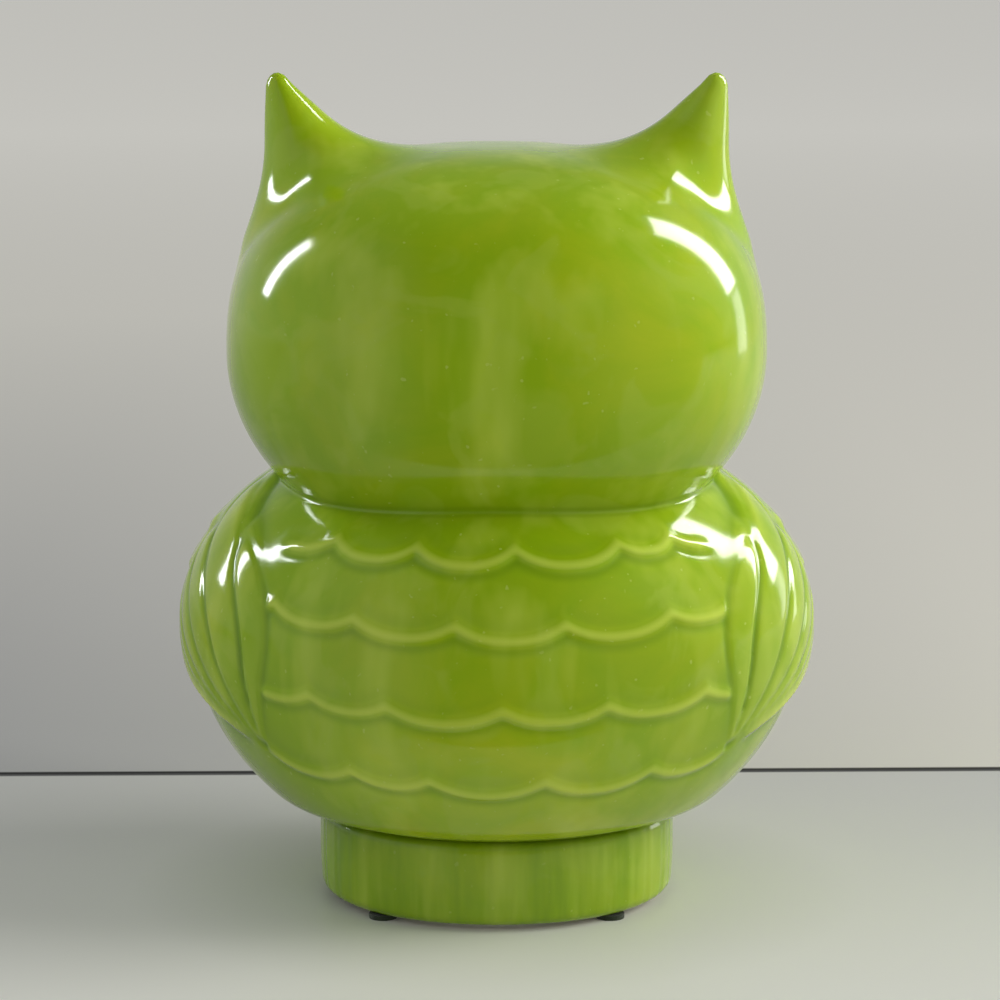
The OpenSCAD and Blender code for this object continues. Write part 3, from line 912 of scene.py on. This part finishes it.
def glaze_material(colours, form, brushed=False, name="owl_glaze"):
    material = bpy.data.materials.new(name)
    n = Nodes(material)
    # The attribute read here is high where glaze pools and low where it runs thin. At the creases it
    # also holds painted shade.
    lie = n.add("ShaderNodeAttribute", attribute_name="glaze_lie").outputs["Fac"]
    mottle = n.noise(38, 5.0, roughness=0.6, distortion=0.6)
    cloud = n.noise(15, 2.0)
    streak = n.noise(60, 3.0, stretch=(1, 1, 0.22), roughness=0.6)
    base = n.mix(n.ranged(mottle, 0.42, 0.72), colours.glaze, colours.straw)
    deep = n.mix(0.55, colours.glaze, colours.pool)
    base = n.mix(n.ranged(cloud, 0.38, 0.66, 0.55, 0.0), base, deep)
    base = n.mix(n.ranged(streak, 0.50, 0.75, 0.0, 0.40), base, colours.thin)
    speck = n.ranged(n.noise(620, 1.0), 0.73, 0.78, 0.0, 0.28)
    base = n.mix(speck, base, (0.60, 0.66, 0.20))
    haze = n.noise(52, 3.0, roughness=0.5, distortion=1.2)
    base = n.mix(n.ranged(haze, 0.52, 0.60, 0.0, 0.30), base, (0.34, 0.46, 0.05))
    if brushed:
        brush = n.noise(130, 3.0, stretch=(1, 1, 0.10), roughness=0.6)
        base = n.mix(n.ranged(brush, 0.48, 0.72, 0.0, 0.5), base, colours.thin)
        base = n.mix(n.ranged(brush, 0.46, 0.30, 0.0, 0.6), base, colours.pool)
        # The foot is painted darker all over: partly a darker glaze, partly painted shade under the
        # belly's overhang.
        base = n.mix(0.35, base, colours.pool)
    base = n.mix(n.ranged(lie, -0.15, -1.2, 0.0, 0.85), base, colours.thin)
    base = n.mix(n.ranged(lie, 0.06, 0.8, 0.0, 0.85), base, colours.pool)
    if brushed:
        height = n.add("ShaderNodeSeparateXYZ")
        n.link(n.place(), height.inputs[0])
        edge = n.math("ADD", height.outputs["Z"], n.ranged(n.noise(120), 0, 1, -0.0003, 0.0003))
        bare = n.ranged(edge, form.foot_bottom + 0.0004, form.foot_bottom + 0.0001)
        base = n.mix(bare, base, colours.bisque)
        n.feed("Roughness", n.ranged(bare, 0, 1, 0.14, 0.75))
    else:
        n.feed("Roughness", n.ranged(n.noise(90), 0.3, 0.7, 0.09, 0.15))
    n.feed("Base Color", base)
    n.value("IOR", 1.43)
    n.value("Coat Weight", 0.10)
    n.value("Coat Roughness", 0.06)
    n.value("Subsurface Weight", 0.06)
    n.value("Subsurface Radius", (0.002, 0.003, 0.0006))
    n.bump(n.noise(45, 2.0), 0.25, 0.0006)
    return material


def plastic_material(colours):
    material = bpy.data.materials.new("stopper_plastic")
    n = Nodes(material)
    grain = n.noise(1400, 2.0)
    tone = n.mix(n.ranged(n.noise(30), 0.35, 0.7), colours.stopper, (0.74, 0.70, 0.60))
    n.feed("Base Color", tone)
    n.feed("Roughness", n.ranged(grain, 0.3, 0.7, 0.38, 0.5))
    n.value("Subsurface Weight", 0.1)
    n.value("Subsurface Radius", (0.001, 0.001, 0.0008))
    n.bump(grain, 0.2, 0.0001)
    return material


def felt_material(colours):
    material = bpy.data.materials.new("felt_cloth")
    n = Nodes(material)
    fibre = n.noise(2600, 6.0, roughness=0.7)
    # Nearly black felt, partly painted shade for the gap under the foot.
    tone = n.mix(n.ranged(fibre, 0.3, 0.7), colours.felt, (0.035, 0.050, 0.025))
    n.feed("Base Color", tone)
    n.value("Roughness", 0.95)
    n.value("Sheen Weight", 0.15)
    n.bump(fibre, 0.8, 0.0004)
    return material


def paint(piece, material):
    piece.data.materials.clear()
    piece.data.materials.append(material)


# ---------------------------------------------------------------- operators


class OWLBANK_OT_shell(Operator):
    """Model the ceramic casting: head, body and foot"""

    bl_idname = "owlbank.shell"
    bl_label = "Ceramic shell"

    def execute(self, context):
        scene = context.scene
        form = OwlForm(scene.owl_shape)
        relief = scene.owl_relief
        azimuth = columns_of(relief.columns)
        glaze = glaze_material(scene.owl_glaze, form)
        brushed = glaze_material(scene.owl_glaze, form, True, "foot_glaze")
        for make, material in ((make_head, glaze), (make_body, glaze), (make_foot, brushed)):
            piece = make(form, relief, azimuth)
            paint(piece, material)
            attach(piece, "bank")
            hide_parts("owl_shell")
        return {"FINISHED"}


class OWLBANK_OT_stopper(Operator):
    """Finish the stopper's body and its knob"""

    bl_idname = "owlbank.stopper"
    bl_label = "Stopper"

    def execute(self, context):
        plastic = plastic_material(context.scene.owl_glaze)
        for node in ("plug_body", "plug_knob"):
            paint(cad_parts[node], plastic)
        return {"FINISHED"}


class OWLBANK_OT_felt(Operator):
    """Finish the felt dots under the foot"""

    bl_idname = "owlbank.felt"
    bl_label = "Felt feet"

    def execute(self, context):
        felt = felt_material(context.scene.owl_glaze)
        for name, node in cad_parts.items():
            if name.startswith("felt_foot"):
                paint(node, felt)
        return {"FINISHED"}


# ---------------------------------------------------------------- the stage

FLOOR_REACH = 4.5
CAMERA_ASIDE = -0.0007

# The floor's glow by the distance from the owl's axis: all of it in the open, none in a ring at the
# foot's edge, and more under the recess.
GLOW_OPEN = (0.036, 0.080)
GLOW_RECESS = (0.032, 0.026, 0.0, 2.0)

WARM = (1, 0.985, 0.95)
COOL = (0.95, 0.98, 1)
CREAM = (1, 1, 0.97)
MIDDLE = (0, 0, 0.09)
# Lights: name, place, what it points at, size, power, tint, whether the floor takes it and whether
# it shows in the glaze.
LIGHTS = (
    ("window_right", (-0.86, -0.52, 0.72), MIDDLE, (0.27, 0.86), 11, WARM, False, True),
    ("window_sill", (-0.90, -0.56, 0.09), MIDDLE, (0.18, 0.40), 0.7, WARM, False, True),
    ("window_left", (0.90, -0.42, 0.58), MIDDLE, (0.13, 0.56), 5.0, COOL, False, True),
    ("lamp_right", (-1.2, 0.15, 0.7), (-0.2, 0, 0), (0.8, 0.8), 11, WARM, True, False),
    ("fill", (-0.2, 1.2, 0.6), MIDDLE, (1.5, 0.8), 4.2, CREAM, True, False),
)


def area_light(name, place, aim, size, power, tint, spared, shiny):
    """A soft light. The spared objects aren't lit by it."""
    data = bpy.data.lights.new(name, "AREA")
    data.shape = "RECTANGLE"
    data.size, data.size_y = size
    data.energy = power
    data.color = tint
    light = put_in_scene(name, data)
    light.location = place
    light.visible_camera = False
    light.visible_glossy = shiny
    way = np.subtract(aim, place)
    light.rotation_mode = "QUATERNION"
    light.rotation_quaternion = Vector(way).to_track_quat("-Z", "Y")
    if spared:
        group = bpy.data.collections.new(name + "_spares")
        for one in spared:
            group.objects.link(one)
        for member in group.collection_objects:
            member.light_linking.link_state = "EXCLUDE"
        light.light_linking.receiver_collection = group


def stage_material(studio):
    """A pale table, painted shade and a thin painted shadow line at its far edge, and a matte pale
    ground beyond it.

    It glows faintly. Seen from below it is clear, so that the owl's underside shows.
    """
    material = bpy.data.materials.new("stage_paint")
    n = Nodes(material)
    place = n.add("ShaderNodeSeparateXYZ")
    n.link(n.place(), place.inputs[0])
    slant = n.math("MULTIPLY", place.outputs["X"], studio.edge_slant)
    past = n.math("SUBTRACT", slant, n.math("ADD", place.outputs["Y"], studio.table_edge))
    worn = n.noise(7, 4.0)
    shade = n.ranged(place.outputs["Y"], 0.10, -0.10, 0.0, 0.55)
    table = n.mix(shade, studio.table, studio.wall)
    table = n.mix(n.ranged(worn, 0.35, 0.65, 0.0, 0.2), table, studio.far_wall)
    # Painted light and shade on the ground past the table's edge: brighter towards -X, where the right
    # light falls, and darker near the edge than farther away.
    lit_side = n.ranged(place.outputs["X"], 0.14, -0.14)
    near = n.mix(lit_side, studio.wall, studio.far_wall)
    far = n.mix(n.ranged(past, 0.0, 0.8), near, studio.far_wall)
    glow = n.ranged(past, 0.05, 1.6, studio.backdrop_glow / 4, studio.backdrop_glow)
    n.value("Emission Color", (1.0, 0.99, 0.97, 1))
    ground = n.mix(n.ranged(past, 0.0, 0.001), table, far)
    # Painted shadow: a thin dark line along the table's far edge, where the table meets the ground.
    off_line = n.math("ABSOLUTE", n.math("SUBTRACT", past, 0.0005), 0.0)
    line = n.ranged(off_line, 0.0014, 0.0026, 0.93, 0.0)
    n.feed("Base Color", n.mix(line, ground, (0.02, 0.02, 0.022)))
    glow = n.math("MULTIPLY", glow, n.math("SUBTRACT", 1.0, line))
    away = n.add("ShaderNodeVectorMath", operation="LENGTH")
    n.link(n.place(), away.inputs[0])
    open_floor = n.ranged(away.outputs["Value"], *GLOW_OPEN)
    under_recess = n.ranged(away.outputs["Value"], *GLOW_RECESS)
    glow = n.math("MULTIPLY", glow, n.math("ADD", open_floor, under_recess))
    n.feed("Emission Strength", glow)
    n.feed("Roughness", n.ranged(past, 0.0, 0.001, 0.45, 1.0))
    n.feed("Specular IOR Level", n.ranged(past, 0.0, 0.001, 0.20, 0.0))
    n.bump(n.noise(400, 3.0), 0.05, 0.0002)
    clear = n.add("ShaderNodeBsdfTransparent")
    side = n.add("ShaderNodeMixShader")
    n.link(n.add("ShaderNodeNewGeometry").outputs["Backfacing"], side.inputs[0])
    n.link(n.shader.outputs[0], side.inputs[1])
    n.link(clear.outputs[0], side.inputs[2])
    n.link(side.outputs[0], n.tree.nodes["Material Output"].inputs["Surface"])
    return material


def floor_part(name, start, end, material):
    """A strip of the floor from one y to another."""
    bm = bmesh.new()
    bmesh.ops.create_grid(bm, x_segments=2, y_segments=2, size=FLOOR_REACH)
    bmesh.ops.scale(bm, vec=(1, (end - start) / (2 * FLOOR_REACH), 1), verts=bm.verts)
    bmesh.ops.translate(bm, vec=(0, (start + end) / 2, 0), verts=bm.verts)
    part = put_in_scene(name, mesh_of(bm, name))
    paint(part, material)
    return part


def studio_world(studio):
    """Soft light from all round, dimmer from the middle of the room in front of the stage."""
    world = bpy.data.worlds.new("studio")
    n = Nodes(world)
    way = n.add("ShaderNodeSeparateXYZ")
    n.link(n.add("ShaderNodeTexCoord").outputs["Generated"], way.inputs[0])
    room = n.mix(n.ranged(way.outputs["X"], -0.25, -0.60), studio.room, studio.right)
    room = n.mix(n.ranged(way.outputs["X"], 0.25, 0.60), room, studio.left)
    sky = n.mix(n.ranged(way.outputs["Z"], 0.12, 0.55), studio.sky, studio.overhead)
    tone = n.mix(n.ranged(way.outputs["Y"], -0.35, 0.20), sky, room)
    back = n.tree.nodes["Background"]
    n.link(tone, back.inputs["Color"])
    back.inputs["Strength"].default_value = 1.0
    return world


class OWLBANK_OT_stage(Operator):
    """Set the pale table, the soft lights and the camera"""

    bl_idname = "owlbank.stage"
    bl_label = "Stage"

    def execute(self, context):
        scene = context.scene
        studio = scene.owl_studio
        paint_of_stage = stage_material(studio)
        table = floor_part("table", -FLOOR_REACH, studio.table_front, paint_of_stage)
        apron = floor_part("table_apron", studio.table_front, FLOOR_REACH, paint_of_stage)
        apron.visible_glossy = False

        camera = put_in_scene("camera", bpy.data.cameras.new("camera"))
        camera.data.lens = studio.lens
        camera.data.sensor_width = 36
        place = Vector((CAMERA_ASIDE, studio.camera_distance, studio.camera_height))
        camera.location = place
        camera.rotation_mode = "QUATERNION"
        way = Vector((CAMERA_ASIDE, 0, studio.aim_height)) - place
        camera.rotation_quaternion = way.to_track_quat("-Z", "Y")
        scene.camera = camera

        scene.world = studio_world(studio)
        scene.view_settings.view_transform = "Standard"
        for name, at, aim, size, power, tint, on_floor, shiny in LIGHTS:
            spared = () if on_floor else (table, apron)
            area_light(name, at, aim, size, power, tint, spared, shiny)
        return {"FINISHED"}


# ---------------------------------------------------------------- panel and registration


class OWLBANK_PT_panel(Panel):
    """Sizes, colours and steps of the owl bank"""

    bl_label = "Owl Bank"
    bl_idname = "OWLBANK_PT_panel"
    bl_space_type = "VIEW_3D"
    bl_region_type = "UI"
    bl_category = "Owl Bank"

    def draw(self, context):
        for step in STEPS:
            self.layout.operator(step.bl_idname)
        for slot, group in GROUPS.items():
            box = self.layout.box()
            for name in group.__annotations__:
                box.prop(getattr(context.scene, slot), name)


GROUPS = {
    "owl_shape": OwlShape,
    "owl_relief": OwlRelief,
    "owl_glaze": OwlGlaze,
    "owl_studio": OwlStudio,
}
STEPS = (OWLBANK_OT_shell, OWLBANK_OT_stopper, OWLBANK_OT_felt, OWLBANK_OT_stage)
CLASSES = (*GROUPS.values(), *STEPS, OWLBANK_PT_panel)


def register():
    for one in CLASSES:
        bpy.utils.register_class(one)
    for slot, group in GROUPS.items():
        setattr(bpy.types.Scene, slot, PointerProperty(type=group))


def unregister():
    for slot in GROUPS:
        delattr(bpy.types.Scene, slot)
    for one in reversed(CLASSES):
        bpy.utils.unregister_class(one)


def main():
    register()
    bpy.ops.owlbank.shell()
    bpy.ops.owlbank.stopper()
    bpy.ops.owlbank.felt()
    bpy.ops.owlbank.stage()


if __name__ == "__main__":
    main()
